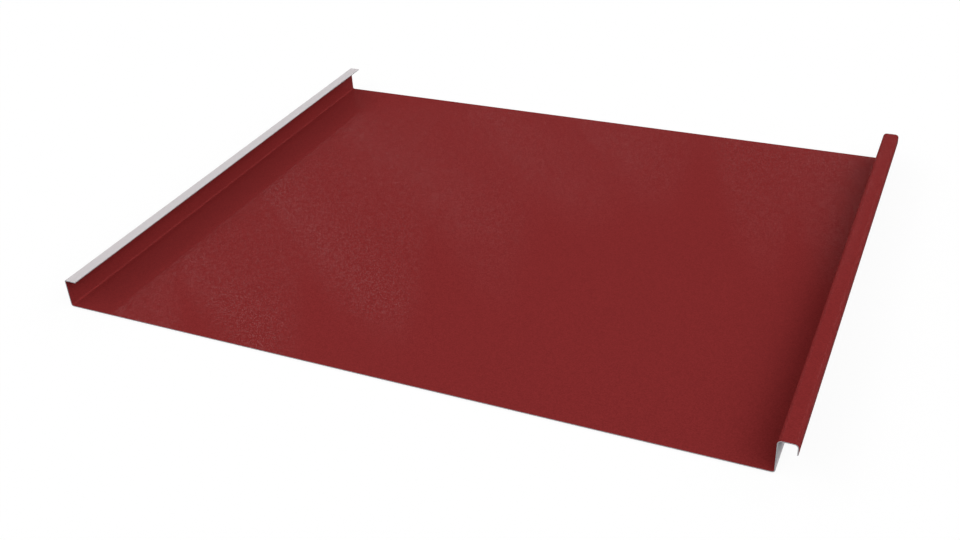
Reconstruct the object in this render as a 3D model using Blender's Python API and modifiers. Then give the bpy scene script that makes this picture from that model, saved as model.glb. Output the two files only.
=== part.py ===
"""Standing seam roof panel: one sheet of coated steel, bent along its length.

The panel lies as it does on a roof, flat pan down and both seams up. Units are metres, +Z is up.
+X runs across the panel from the small seam to the big seam, and Y runs along its length.
The origin is the middle of the underside.

Seen along +Y, the sheet goes like this, from left to right:

    small flange (folded in over the pan), small leg, pan, big leg, cap (folded out), lip (folded down)

On the roof, the cap of one panel drops over the small leg and small flange of the next one, and the
two are rolled tight together. So the cap, its lip and the big leg are sized from the small seam
with two named clearances.
"""

import bmesh
import bpy
from mathutils import Vector

# The sheet and the panel
SHEET_THICKNESS = 0.0007
PANEL_LENGTH = 0.450
COVER_WIDTH = 0.550           # from one seam to the next on the roof

# The small seam, which the next panel's cap covers
SMALL_SEAM_HEIGHT = 0.024     # underside of the pan to the top of the flange
SMALL_FLANGE_WIDTH = 0.0104   # outer face of the leg to the free edge

# The big seam, which covers the small seam of the panel beside it
CAP_TOP_CLEARANCE = 0.001     # flange top to the underside of the cap
CAP_SIDE_CLEARANCE = 0.0013   # flange edge to the inside of the lip
LIP_DEPTH = 0.0084            # top of the cap to the free edge of the lip

# Inside radius of each kind of fold
FLANGE_FOLD_RADIUS = 0.0003
PAN_FOLD_RADIUS = 0.0015
CAP_FOLD_RADIUS = 0.0023
FOLD_SEGMENTS = 8

# Sizes that follow from the ones above
PAN_WIDTH = COVER_WIDTH - SHEET_THICKNESS
BIG_SEAM_HEIGHT = SMALL_SEAM_HEIGHT + CAP_TOP_CLEARANCE + SHEET_THICKNESS
CAP_WIDTH = SHEET_THICKNESS + SMALL_FLANGE_WIDTH + CAP_SIDE_CLEARANCE + SHEET_THICKNESS
OVERALL_WIDTH = PAN_WIDTH + CAP_WIDTH
SMALL_SEAM_X = -OVERALL_WIDTH / 2
BIG_SEAM_X = SMALL_SEAM_X + PAN_WIDTH

SHEET_NAME = "panel_sheet"
PAINT_COLOUR = (0.209, 0.022, 0.0225, 1.0)


def remove_old_objects():
    """Empty the scene, so that the script can be run again."""
    for old in list(bpy.data.objects):
        bpy.data.objects.remove(old, do_unlink=True)


def painted_face_section():
    """Corners of the painted face before its folds are rounded, and each fold's radius on that face.

    The corners run from the free edge of the small flange to the free edge of the lip. The paint is
    on the inside of the first three folds and on the outside of the two folds of the cap.
    """
    leg_x = SMALL_SEAM_X + SHEET_THICKNESS
    flange_z = SMALL_SEAM_HEIGHT - SHEET_THICKNESS
    pan_z = SHEET_THICKNESS
    lip_x = BIG_SEAM_X + CAP_WIDTH
    corners = [
        (SMALL_SEAM_X + SMALL_FLANGE_WIDTH, flange_z),
        (leg_x, flange_z),
        (leg_x, pan_z),
        (BIG_SEAM_X, pan_z),
        (BIG_SEAM_X, BIG_SEAM_HEIGHT),
        (lip_x, BIG_SEAM_HEIGHT),
        (lip_x, BIG_SEAM_HEIGHT - LIP_DEPTH),
    ]
    outside_cap_radius = CAP_FOLD_RADIUS + SHEET_THICKNESS
    fold_radii = [
        FLANGE_FOLD_RADIUS,
        PAN_FOLD_RADIUS,
        PAN_FOLD_RADIUS,
        outside_cap_radius,
        outside_cap_radius,
    ]
    return corners, fold_radii


def folded_strip(name, corners, fold_radii):
    """Open surface along Y through the section's corners, with every fold rounded to its own radius."""
    strip = bmesh.new()
    front = [strip.verts.new((x, -PANEL_LENGTH / 2, z)) for x, z in corners]
    section = [strip.edges.new(pair) for pair in zip(front, front[1:])]
    swept = bmesh.ops.extrude_edge_only(strip, edges=section)
    back = [item for item in swept["geom"] if isinstance(item, bmesh.types.BMVert)]
    bmesh.ops.translate(strip, verts=back, vec=Vector((0, PANEL_LENGTH, 0)))
    # The sweep leaves the faces looking towards the back coat. Turned over, they look out of the paint.
    bmesh.ops.reverse_faces(strip, faces=list(strip.faces))

    for (x, z), radius in zip(corners[1:-1], fold_radii):
        fold = [edge for edge in strip.edges if runs_along_fold(edge, x, z)]
        bmesh.ops.bevel(
            strip,
            geom=fold,
            offset=radius,
            offset_type="OFFSET",
            affect="EDGES",
            segments=FOLD_SEGMENTS,
            profile=0.5,
            clamp_overlap=False,
        )

    mesh = bpy.data.meshes.new(name)
    strip.to_mesh(mesh)
    strip.free()
    return mesh


def runs_along_fold(edge, x, z):
    """True for the edge along Y whose two ends both lie at the given place in the section."""
    tolerance = SHEET_THICKNESS / 100
    return all(abs(vert.co.x - x) < tolerance and abs(vert.co.z - z) < tolerance for vert in edge.verts)


def painted_steel():
    material = bpy.data.materials.new("painted_steel")
    material.use_nodes = True
    shader = material.node_tree.nodes["Principled BSDF"]
    shader.inputs["Base Color"].default_value = PAINT_COLOUR
    shader.inputs["Roughness"].default_value = 0.45
    shader.inputs["Metallic"].default_value = 0.0
    return material


def make_panel(collection):
    corners, fold_radii = painted_face_section()
    mesh = folded_strip(SHEET_NAME, corners, fold_radii)
    sheet = bpy.data.objects.new(SHEET_NAME, mesh)
    collection.objects.link(sheet)
    sheet.data.materials.append(painted_steel())

    thicken = sheet.modifiers.new("Sheet thickness", "SOLIDIFY")
    thicken.thickness = SHEET_THICKNESS
    thicken.offset = -1.0
    thicken.use_even_offset = True
    thicken.use_rim = True

    mesh.shade_smooth()
    mesh.set_sharp_from_angle(angle=0.7)
    return sheet


def main():
    remove_old_objects()
    collection = bpy.data.collections.new("standing_seam_roof_panel")
    bpy.context.scene.collection.children.link(collection)
    sheet = make_panel(collection)
    print(f"{sheet.name}: {OVERALL_WIDTH * 1000:.1f} mm wide, {PANEL_LENGTH * 1000:.1f} mm long, "
          f"{BIG_SEAM_HEIGHT * 1000:.1f} mm high")


main()
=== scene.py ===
# %% [markdown]
# # A standing seam roof panel
#
# A standing seam roof is made of long trays of coated steel. Each tray is one sheet, folded along both
# edges. The small seam on the left is covered by the big seam of the next tray, and the two are rolled tight
# together.
#
# This lesson dresses one short tray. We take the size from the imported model, fold a finer sheet of the same
# shape, give its three kinds of surface a finish each, and light it so that the finish shows.

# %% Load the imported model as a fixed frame
import math

import bmesh
import bpy
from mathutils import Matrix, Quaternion, Vector


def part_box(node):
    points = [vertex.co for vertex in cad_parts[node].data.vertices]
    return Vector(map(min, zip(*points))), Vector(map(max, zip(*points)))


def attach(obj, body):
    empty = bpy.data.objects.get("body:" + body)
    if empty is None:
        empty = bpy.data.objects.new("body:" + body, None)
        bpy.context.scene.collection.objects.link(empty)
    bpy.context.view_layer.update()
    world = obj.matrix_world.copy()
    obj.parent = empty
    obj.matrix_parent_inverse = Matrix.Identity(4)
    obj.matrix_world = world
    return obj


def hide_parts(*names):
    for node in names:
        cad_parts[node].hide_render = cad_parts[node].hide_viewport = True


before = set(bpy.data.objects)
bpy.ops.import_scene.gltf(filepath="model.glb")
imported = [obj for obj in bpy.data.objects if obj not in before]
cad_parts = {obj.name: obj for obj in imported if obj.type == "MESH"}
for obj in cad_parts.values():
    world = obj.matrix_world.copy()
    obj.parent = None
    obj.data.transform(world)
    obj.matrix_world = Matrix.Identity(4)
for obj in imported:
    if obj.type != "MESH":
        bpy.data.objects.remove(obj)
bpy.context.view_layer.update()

sheet_low, sheet_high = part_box("panel_sheet")

# %% [markdown]
# ## The camera
#
# The photograph looks down on the pan from the front right, with the big seam nearest. A camera can be aimed
# in two ways: with a constraint that follows a target, or with a rotation worked out once. We work the
# rotation out, because the real camera was tilted a little to one side, and a plain turn about the line of
# sight adds that tilt.

# %% Aim the camera
CAMERA_PLACE = Vector((0.3468, -0.7772, 0.4865))
LOOK_POINT = Vector((0.0018, -0.0697, 0.0))
SIDE_TILT = math.radians(-3.59)
FIELD_OF_VIEW = math.radians(45)

camera_data = bpy.data.cameras.new("camera")
camera_data.sensor_fit = "HORIZONTAL"
camera_data.angle = FIELD_OF_VIEW
camera_data.clip_start = 0.01
camera = bpy.data.objects.new("camera", camera_data)
bpy.context.scene.collection.objects.link(camera)

line_of_sight = LOOK_POINT - CAMERA_PLACE
level_turn = line_of_sight.to_track_quat("-Z", "Y")
camera.location = CAMERA_PLACE
camera.rotation_mode = "QUATERNION"
camera.rotation_quaternion = level_turn @ Quaternion((0, 0, 1), SIDE_TILT)
bpy.context.scene.camera = camera
print("the camera stands", round(line_of_sight.length, 3), "m from the point it looks at")

# %% [markdown]
# ## The section of the sheet
#
# A folding machine never makes a sharp corner: the sheet wraps round a bar, so each fold is an arc. Seen
# from its front end, the sheet runs from the small flange down the small leg, across the pan, up the big
# leg, over the cap and down the lip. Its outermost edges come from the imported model, and the rest are named
# sizes. The folds could be made with a Bevel modifier, but without a weight on every edge it rounds them all
# alike. So a function rounds each corner with a radius of its own.

# %% Sizes of the section
MM = 0.001
SHEET_THICKNESS = 0.7 * MM
SMALL_SEAM_HEIGHT = 24.0 * MM
SMALL_FLANGE_WIDTH = 10.4 * MM
CAP_WIDTH = 13.1 * MM
LIP_DEPTH = 8.4 * MM
FLANGE_FOLD_RADIUS = 0.3 * MM
PAN_FOLD_RADIUS = 1.5 * MM
CAP_FOLD_RADIUS = 2.3 * MM
STEPS_PER_FOLD = 14

small_seam_x = sheet_low.x
lip_x = sheet_high.x
big_seam_x = lip_x - CAP_WIDTH
cap_z = sheet_high.z
panel_length = sheet_high.y - sheet_low.y
cover_width = big_seam_x + SHEET_THICKNESS - small_seam_x
print("one tray covers", round(cover_width / MM, 1), "mm of the roof")

# %% Corners and folds of the section
# Corners of the painted face, with the radius of the fold at each. The two ends of the line have no fold.
painted_corners = [
    (small_seam_x + SMALL_FLANGE_WIDTH, SMALL_SEAM_HEIGHT - SHEET_THICKNESS, 0),
    (small_seam_x + SHEET_THICKNESS, SMALL_SEAM_HEIGHT - SHEET_THICKNESS, FLANGE_FOLD_RADIUS),
    (small_seam_x + SHEET_THICKNESS, SHEET_THICKNESS, PAN_FOLD_RADIUS),
    (big_seam_x, SHEET_THICKNESS, PAN_FOLD_RADIUS),
    (big_seam_x, cap_z, CAP_FOLD_RADIUS + SHEET_THICKNESS),
    (lip_x, cap_z, CAP_FOLD_RADIUS + SHEET_THICKNESS),
    (lip_x, cap_z - LIP_DEPTH, 0),
]


def rounded_line(corners, steps):
    """Points along a line of square corners, with each corner turned into an arc of its own radius."""
    points = []
    for number, (x, z, radius) in enumerate(corners):
        corner = Vector((x, z))
        if radius == 0:
            points.append(corner)
            continue
        before = Vector(corners[number - 1][:2])
        after = Vector(corners[number + 1][:2])
        arriving = (before - corner).normalized()
        leaving = (after - corner).normalized()
        centre = corner + (arriving + leaving) * radius
        for step in range(steps + 1):
            angle = math.pi / 2 * step / steps
            from_leaving = leaving * radius * math.cos(angle)
            from_arriving = arriving * radius * math.sin(angle)
            points.append(centre - from_leaving - from_arriving)
    return points


section = rounded_line(painted_corners, STEPS_PER_FOLD)
flat_width = sum((end - start).length for start, end in zip(section, section[1:]))
print("the painted face is", round(flat_width / MM, 1), "mm wide when it is rolled out flat")

# %% [markdown]
# ## The folded sheet
#
# The painted face is an open strip: the section drawn once and swept along the panel. The back could be
# drawn in the same way, but then every fold would need a second radius. A Solidify modifier gives the strip
# its thickness instead, and it knows which faces are the back and which are the cut edges, so each of the
# three gets its own material slot. Even thickness keeps the sheet as thick in the folds as it is on the
# flats.
#
# Shears round a cut edge by a few hundredths of a millimetre, and a very small Bevel on the square edges
# does the same. A Weighted Normal modifier then lets the large flats keep their flat shading right up to the
# start of each fold.

# %% Sweep, thicken and finish the sheet
BURR_RADIUS = 0.03 * MM
SQUARE_EDGE = math.radians(60)

# Material slots, counted from the painted side, which has slot 0
BACK_SIDE = 1
CUT_EDGE = 2


def swept_strip(name, outline, length):
    """An open surface through the outline, swept along Y with half its length on each side of the origin."""
    strip = bmesh.new()
    front = [strip.verts.new((point.x, -length / 2, point.y)) for point in outline]
    edges = [strip.edges.new(pair) for pair in zip(front, front[1:])]
    swept = bmesh.ops.extrude_edge_only(strip, edges=edges)
    back = [item for item in swept["geom"] if isinstance(item, bmesh.types.BMVert)]
    bmesh.ops.translate(strip, verts=back, vec=(0, length, 0))
    bmesh.ops.reverse_faces(strip, faces=list(strip.faces))
    mesh = bpy.data.meshes.new(name)
    strip.to_mesh(mesh)
    strip.free()
    return mesh


panel = bpy.data.objects.new("folded_sheet", swept_strip("folded_sheet", section, panel_length))
bpy.context.scene.collection.objects.link(panel)

thickness = panel.modifiers.new("thickness", "SOLIDIFY")
thickness.thickness = SHEET_THICKNESS
thickness.offset = -1
thickness.use_even_offset = True
thickness.material_offset = BACK_SIDE
thickness.material_offset_rim = CUT_EDGE

burr = panel.modifiers.new("burr", "BEVEL")
burr.width = BURR_RADIUS
burr.segments = 2
burr.limit_method = "ANGLE"
burr.angle_limit = SQUARE_EDGE

panel.data.shade_smooth()
even_flats = panel.modifiers.new("flats stay flat", "WEIGHTED_NORMAL")
even_flats.weight = 100
even_flats.keep_sharp = False
print("faces in the strip:", len(panel.data.polygons))

# %% [markdown]
# ## A small kit for materials
#
# Every finish here is made the same way: one Principled shader, and a few noise or cell textures that read
# the object's own coordinates in metres. So a grain size in millimetres can be written as it is on the real
# sheet. An image could carry the grain too, but it would repeat or blur, and noise does neither. These
# helpers keep the materials short.

# %% Helpers for shader nodes
def new_finish(name):
    """A material with its node tree and its Principled shader."""
    material = bpy.data.materials.new(name)
    material.use_nodes = True
    return material, material.node_tree, material.node_tree.nodes["Principled BSDF"]


def grain(tree, size, stretch=(1, 1, 1), detail=2.0):
    """Noise whose grains are about the size given, in metres, and longer where stretch is above 1."""
    place = tree.nodes.new("ShaderNodeTexCoord")
    scale = tree.nodes.new("ShaderNodeMapping")
    scale.inputs["Scale"].default_value = [1 / (size * factor) for factor in stretch]
    noise = tree.nodes.new("ShaderNodeTexNoise")
    noise.inputs["Scale"].default_value = 1.0
    noise.inputs["Detail"].default_value = detail
    tree.links.new(place.outputs["Object"], scale.inputs["Vector"])
    tree.links.new(scale.outputs["Vector"], noise.inputs["Vector"])
    return noise.outputs["Fac"]


def specks(tree, size):
    """A chance value for each speck of about the size given, in metres."""
    place = tree.nodes.new("ShaderNodeTexCoord")
    cells = tree.nodes.new("ShaderNodeTexVoronoi")
    cells.inputs["Scale"].default_value = 1 / size
    chance = tree.nodes.new("ShaderNodeSeparateColor")
    tree.links.new(place.outputs["Object"], cells.inputs["Vector"])
    tree.links.new(cells.outputs["Color"], chance.inputs[0])
    return chance.outputs["Red"]


def spread(tree, value, low, high, start=0.0, end=1.0):
    """Turn the part of a value between start and end into a value from low to high, with soft ends."""
    step = tree.nodes.new("ShaderNodeMapRange")
    step.interpolation_type = "SMOOTHSTEP"
    step.inputs["From Min"].default_value = start
    step.inputs["From Max"].default_value = end
    step.inputs["To Min"].default_value = low
    step.inputs["To Max"].default_value = high
    tree.links.new(value, step.inputs["Value"])
    return step.outputs["Result"]


def tint(tree, value, dark, light):
    """A colour between the two given, chosen by a value from 0 to 1."""
    mix = tree.nodes.new("ShaderNodeMix")
    mix.data_type = "RGBA"
    mix.inputs["A"].default_value = (*dark, 1)
    mix.inputs["B"].default_value = (*light, 1)
    tree.links.new(value, mix.inputs["Factor"])
    return mix.outputs["Result"]


def relief(tree, shader, value, depth):
    """A bump as deep as the size given, in metres."""
    bump = tree.nodes.new("ShaderNodeBump")
    bump.inputs["Strength"].default_value = 1.0
    bump.inputs["Distance"].default_value = depth
    tree.links.new(value, bump.inputs["Height"])
    tree.links.new(bump.outputs["Normal"], shader.inputs["Normal"])


# %% [markdown]
# ## The paint
#
# The face is a matt brown-red coil coating. Matting powder in it leaves a fine grain, which breaks what
# little gloss there is into specks. A single rough lobe would give an even sheen, which the photograph
# doesn't show. So the paint is nearly all body colour, and a thin coat on top carries the specks: only the
# brightest grains have any of it.

# %% Paint
PAINT_DARK = (0.178, 0.0195, 0.0197)
PAINT_LIGHT = (0.240, 0.0264, 0.0266)
PAINT_SPECK = 0.6 * MM
PAINT_GRAIN = 0.9 * MM
PAINT_RELIEF = 0.004 * MM
SPECK_GLOSS = 0.16
GLOSSY_SPECKS = 0.7

paint, paint_tree, paint_shader = new_finish("matt_red_paint")
powder = specks(paint_tree, PAINT_SPECK)
paint_tree.links.new(tint(paint_tree, powder, PAINT_DARK, PAINT_LIGHT), paint_shader.inputs["Base Color"])
paint_shader.inputs["Roughness"].default_value = 0.55
paint_shader.inputs["Specular IOR Level"].default_value = 0.0
paint_shader.inputs["Coat Roughness"].default_value = 0.06
gloss = spread(paint_tree, powder, 0.0, SPECK_GLOSS, start=GLOSSY_SPECKS)
paint_tree.links.new(gloss, paint_shader.inputs["Coat Weight"])
relief(paint_tree, paint_shader, grain(paint_tree, PAINT_GRAIN), PAINT_RELIEF)
print("share of the specks with some gloss:", round(1 - GLOSSY_SPECKS, 2))

# %% [markdown]
# ## The back coat
#
# The other side of the sheet carries a thin light grey primer. It shows on the small flange, which is folded
# in over the pan, and behind the big leg. It could be one flat grey, but a real primer is a little cloudy
# along the coil. So a stretched noise moves its colour and its roughness together.

# %% Back coat
BACK_DARK = (0.590, 0.554, 0.565)
BACK_LIGHT = (0.618, 0.582, 0.593)
BACK_CLOUD = 1.2 * MM
CLOUD_STRETCH = 4
BACK_GRAIN = 0.6 * MM
BACK_RELIEF = 0.004 * MM

back_coat, back_tree, back_shader = new_finish("grey_back_coat")
clouds = grain(back_tree, BACK_CLOUD, stretch=(1, CLOUD_STRETCH, 1), detail=3.0)
cloudy = spread(back_tree, clouds, 0.0, 1.0, start=0.3, end=0.7)
back_tree.links.new(tint(back_tree, cloudy, BACK_DARK, BACK_LIGHT), back_shader.inputs["Base Color"])
back_tree.links.new(spread(back_tree, clouds, 0.65, 0.55), back_shader.inputs["Roughness"])
back_shader.inputs["Specular IOR Level"].default_value = 0.02
relief(back_tree, back_shader, grain(back_tree, BACK_GRAIN), BACK_RELIEF)
print("length of the clouds along the coil:", round(BACK_CLOUD * CLOUD_STRETCH / MM, 1), "mm")

# %% [markdown]
# ## The cut edge
#
# Where the shears went through, the bare steel and zinc show as a thin grey line all round the sheet. Shears
# drag the metal as they cut, so the line has fine marks across it. Marks could be cut into the mesh, but
# they are finer than the sheet is thick, so a noise that is stretched upwards draws them.

# %% Cut edge
EDGE_DARK = (0.30, 0.295, 0.31)
EDGE_LIGHT = (0.38, 0.375, 0.39)
SHEAR_MARK = 0.5 * MM
SHEAR_RELIEF = 0.02 * MM

cut_edge, edge_tree, edge_shader = new_finish("cut_steel_edge")
shear_marks = grain(edge_tree, SHEAR_MARK, stretch=(1, 1, 3))
marked = spread(edge_tree, shear_marks, 0.0, 1.0, start=0.3, end=0.7)
edge_tree.links.new(tint(edge_tree, marked, EDGE_DARK, EDGE_LIGHT), edge_shader.inputs["Base Color"])
edge_tree.links.new(spread(edge_tree, shear_marks, 0.45, 0.65), edge_shader.inputs["Roughness"])
edge_shader.inputs["Metallic"].default_value = 0.4
relief(edge_tree, edge_shader, shear_marks, SHEAR_RELIEF)

# The finishes fill the slots in this order: painted side, back side, cut edge.
for finish in (paint, back_coat, cut_edge):
    panel.data.materials.append(finish)
print("finishes on the sheet:", [finish.name for finish in panel.data.materials])

# %% [markdown]
# ## The floor
#
# The photograph has a clean white ground. A white floor lit like the panel comes out a little grey, and more
# light would spoil the paint. So the floor shines white by itself for the camera and in mirrors, mixed with
# a share of plain white that still takes the shadow. The faces that look down or outwards are dark in the
# photograph, so the floor sends little light back up to them.

# %% Floor
FLOOR_SIZE = 60.0
FLOOR_DROP = 0.3 * MM
SHADOW_SHARE = 0.1
FLOOR_BOUNCE = (0.01, 0.02, 0.04, 1)

bpy.ops.mesh.primitive_plane_add(size=FLOOR_SIZE, location=(0, 0, -FLOOR_DROP))
floor = bpy.context.object
floor.name = "floor"
floor_finish = bpy.data.materials.new("pale_floor")
floor_finish.use_nodes = True
floor_tree = floor_finish.node_tree
floor_tree.nodes.clear()


def seen_directly(tree):
    """1 for rays from the camera, a mirror or glass, and 0 for the light that bounces about."""
    path = tree.nodes.new("ShaderNodeLightPath")
    camera_or_mirror = tree.nodes.new("ShaderNodeMath")
    camera_or_mirror.operation = "MAXIMUM"
    tree.links.new(path.outputs["Is Camera Ray"], camera_or_mirror.inputs[0])
    tree.links.new(path.outputs["Is Glossy Ray"], camera_or_mirror.inputs[1])
    any_of_them = tree.nodes.new("ShaderNodeMath")
    any_of_them.operation = "MAXIMUM"
    tree.links.new(camera_or_mirror.outputs[0], any_of_them.inputs[0])
    tree.links.new(path.outputs["Is Transmission Ray"], any_of_them.inputs[1])
    return any_of_them.outputs[0]


shine = floor_tree.nodes.new("ShaderNodeEmission")
shine.inputs["Strength"].default_value = 1.0
white_ground = floor_tree.nodes.new("ShaderNodeBsdfDiffuse")
white_ground.inputs["Color"].default_value = (1, 1, 1, 1)
pale_ground = floor_tree.nodes.new("ShaderNodeBsdfDiffuse")
pale_ground.inputs["Color"].default_value = FLOOR_BOUNCE
shown = floor_tree.nodes.new("ShaderNodeMixShader")
shown.inputs["Fac"].default_value = SHADOW_SHARE
either = floor_tree.nodes.new("ShaderNodeMixShader")
floor_output = floor_tree.nodes.new("ShaderNodeOutputMaterial")
floor_tree.links.new(shine.outputs[0], shown.inputs[1])
floor_tree.links.new(white_ground.outputs[0], shown.inputs[2])
floor_tree.links.new(seen_directly(floor_tree), either.inputs["Fac"])
floor_tree.links.new(pale_ground.outputs[0], either.inputs[1])
floor_tree.links.new(shown.outputs[0], either.inputs[2])
floor_tree.links.new(either.outputs[0], floor_output.inputs["Surface"])
floor.data.materials.append(floor_finish)
print("the floor lies", round(FLOOR_DROP / MM, 1), "mm under the sheet")

# %% [markdown]
# ## The light
#
# The shading beside the two legs says how the panel was lit: soft light from all round at a low to middle
# height, and none from straight above. That is a light tent with an open crown. Lamps in a ring would do,
# but each one throws its own shadow. So the world itself is the tent.
#
# The world's nodes work in degrees: first the direction of a ray becomes a height and a turn round the tent.

# %% Directions in the tent
ONE_ROUND = 360.0

world = bpy.data.worlds.new("light_tent")
bpy.context.scene.world = world
world.use_nodes = True
sky = world.node_tree
background = sky.nodes["Background"]


def work_out(operation, *values):
    """One step of arithmetic in the world's nodes, on outputs of other nodes or on plain numbers."""
    step = sky.nodes.new("ShaderNodeMath")
    step.operation = operation
    for socket, value in zip(step.inputs, values):
        if isinstance(value, (int, float)):
            socket.default_value = value
        else:
            sky.links.new(value, socket)
    return step.outputs[0]


ray = sky.nodes.new("ShaderNodeTexCoord")
ray_parts = sky.nodes.new("ShaderNodeSeparateXYZ")
sky.links.new(ray.outputs["Generated"], ray_parts.inputs[0])
height = work_out("DEGREES", work_out("ARCSINE", ray_parts.outputs["Z"]))
turn = work_out("DEGREES", work_out("ARCTAN2", ray_parts.outputs["Y"], ray_parts.outputs["X"]))
full_turn = work_out("FLOORED_MODULO", turn, ONE_ROUND)
print("nodes that find a ray's height and turn:", len(sky.nodes) - 2)

# %% [markdown]
# ### The cloth of the tent
#
# A real tent's cloth is brighter where a lamp stands behind it, and its rim is higher on some sides. A list
# says how high the rim is in each direction, and how bright the cloth is at its bottom and at its top. It
# could be painted into an image, but a Color Ramp blends a short list just as well: red carries the rim's
# height, green and blue the two levels of light. A plain white foot closes the tent near the ground.

# %% The tent's list
RIM_SOFTNESS = 8.0
CLOTH_BOTTOM = 12.0
CLOTH_TOP = 36.0
FOOT_TOP = 12.0
FOOT_END = 18.0
MOST_LIGHT = 4.0
STRAIGHT_UP = 90.0

# Turn from +X towards +Y, height of the rim, light at the bottom of the cloth and light at its top
TENT = [
    (0, 60, 1.0, 1.5),
    (45, 40, 0.5, 2.2),
    (85, 45, 2.0, 3.0),
    (95, 25, 1.5, 2.0),
    (120, 25, 0.5, 0.5),
    (135, 25, 1.5, 2.0),
    (150, 35, 0.5, 2.5),
    (180, 45, 0.5, 2.5),
    (225, 52, 0.3, 1.8),
    (270, 47, 1.0, 3.0),
    (315, 62, 1.4, 2.7),
    (360, 60, 1.0, 1.5),
]
print("directions in the tent's list:", len(TENT))


# %% Light of the cloth
def smooth_step(value, start, end):
    """0 below the start, 1 above the end, and a soft step between."""
    step = sky.nodes.new("ShaderNodeMapRange")
    step.interpolation_type = "SMOOTHSTEP"
    for name, setting in (("Value", value), ("From Min", start), ("From Max", end)):
        if isinstance(setting, (int, float)):
            step.inputs[name].default_value = setting
        else:
            sky.links.new(setting, step.inputs[name])
    return step.outputs["Result"]


round_tent = sky.nodes.new("ShaderNodeValToRGB")
stops = round_tent.color_ramp.elements
stops.remove(stops[1])
for number, (place, rim, at_bottom, at_top) in enumerate(TENT):
    stop = stops[0] if number == 0 else stops.new(place / ONE_ROUND)
    stop.position = place / ONE_ROUND
    stop.color = (rim / STRAIGHT_UP, at_bottom / MOST_LIGHT, at_top / MOST_LIGHT, 1)
sky.links.new(work_out("DIVIDE", full_turn, ONE_ROUND), round_tent.inputs["Fac"])
tent_parts = sky.nodes.new("ShaderNodeSeparateColor")
sky.links.new(round_tent.outputs["Color"], tent_parts.inputs[0])

rim_height = work_out("MULTIPLY", tent_parts.outputs["Red"], STRAIGHT_UP)
bottom_light = work_out("MULTIPLY", tent_parts.outputs["Green"], MOST_LIGHT)
top_light = work_out("MULTIPLY", tent_parts.outputs["Blue"], MOST_LIGHT)
up_the_cloth = smooth_step(height, CLOTH_BOTTOM, CLOTH_TOP)
gain = work_out("MULTIPLY", work_out("SUBTRACT", top_light, bottom_light), up_the_cloth)
cloth = work_out("ADD", bottom_light, gain)
past_rim = smooth_step(
    height,
    work_out("SUBTRACT", rim_height, RIM_SOFTNESS / 2),
    work_out("ADD", rim_height, RIM_SOFTNESS / 2),
)
cloth_light = work_out("MULTIPLY", cloth, work_out("SUBTRACT", 1.0, past_rim))
foot_light = work_out("SUBTRACT", 1.0, smooth_step(height, FOOT_TOP, FOOT_END))
light = work_out("MAXIMUM", cloth_light, foot_light)
print("the lowest rim is at", min(rim for place, rim, at_bottom, at_top in TENT), "degrees")

# %% [markdown]
# ### Arched panels at the back left
#
# The paint reflects a row of pale fingers, which fan out across the pan. They are arches seen in a faint
# mirror. Each finger's tip is the top of an arch, and most arches have one flank that is brighter than their
# middle. Lit boards round the panel would do it too, but they would have to stand in the scene. So a single
# function draws one arch in the world, and the light keeps whatever is brightest in each direction.

# %% The arches' list
ARCH_SOFTNESS = 3.0
ARCH_DROP = 3.0
ARCH_BEND = 1.8
FLANK_DEPTH = 2.5
FLANK_WIDTH = 3.0
FLANK_BLEND = 0.5
STEEP_SIDE = 0.4
ARCH_FOOT = 23.0
FOOT_SOFTNESS = 1.0

# Turn from +X towards +Y, height of the top, width, light in the middle and light on the flank
ARCHES = [
    (96.0, 33.0, 2.5, 3.5, 2.5),
    (99.5, 33.0, 2.5, 2.0, 2.0),
    (105.5, 30.0, 4.5, 1.0, 3.0),
    (109.0, 31.0, 5.5, 0.5, 3.0),
    (114.0, 32.5, 6.0, 0.5, 3.5),
    (114.5, 34.5, 3.5, 1.5, 2.0),
    (121.0, 36.0, 4.0, 2.0, 4.5),
    (128.0, 37.0, 3.5, 2.0, 4.5),
    (134.5, 37.0, 2.5, 3.5, 3.5),
]
print("arches in the tent:", len(ARCHES))


# %% Light of the arches
def arch(place, top, width, middle_light, flank_light):
    """Light of one arch: steep on one side, and with a level of its own along the edge of the other."""
    across = work_out("DIVIDE", work_out("SUBTRACT", full_turn, place), width)
    steep = work_out("DIVIDE", work_out("MINIMUM", across, 0.0), STEEP_SIDE)
    from_middle = work_out("ADD", work_out("MAXIMUM", across, 0.0), work_out("ABSOLUTE", steep))
    drop = work_out("MULTIPLY", work_out("POWER", from_middle, ARCH_BEND), ARCH_DROP)
    below_edge = work_out("SUBTRACT", work_out("SUBTRACT", top, drop), height)
    inside = smooth_step(below_edge, 0.0, ARCH_SOFTNESS)
    above_foot = smooth_step(height, ARCH_FOOT, ARCH_FOOT + FOOT_SOFTNESS)
    from_ridge = work_out("DIVIDE", work_out("SUBTRACT", below_edge, FLANK_DEPTH), FLANK_WIDTH)
    ridge = work_out("EXPONENT", work_out("MULTIPLY", work_out("POWER", from_ridge, 2.0), -1.0))
    flank = work_out("MULTIPLY", ridge, smooth_step(across, -FLANK_BLEND, FLANK_BLEND))
    middle = work_out("MULTIPLY", middle_light, work_out("SUBTRACT", 1.0, flank))
    glow = work_out("MULTIPLY_ADD", flank, flank_light, middle)
    return work_out("MULTIPLY", work_out("MULTIPLY", inside, above_foot), glow)


for one_arch in ARCHES:
    light = work_out("MAXIMUM", light, arch(*one_arch))
sky.links.new(light, background.inputs["Strength"])
background.inputs["Color"].default_value = (1, 1, 1, 1)
print("nodes in the whole tent:", len(sky.nodes))

# %% [markdown]
# ## Hand over
#
# The picture is shown with the plain Standard view, so a colour comes out as it is written. The folded sheet
# stands for the imported node and rides on its body.

# %% Hand over
bpy.context.scene.view_settings.view_transform = "Standard"
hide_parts("panel_sheet")
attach(panel, "root")
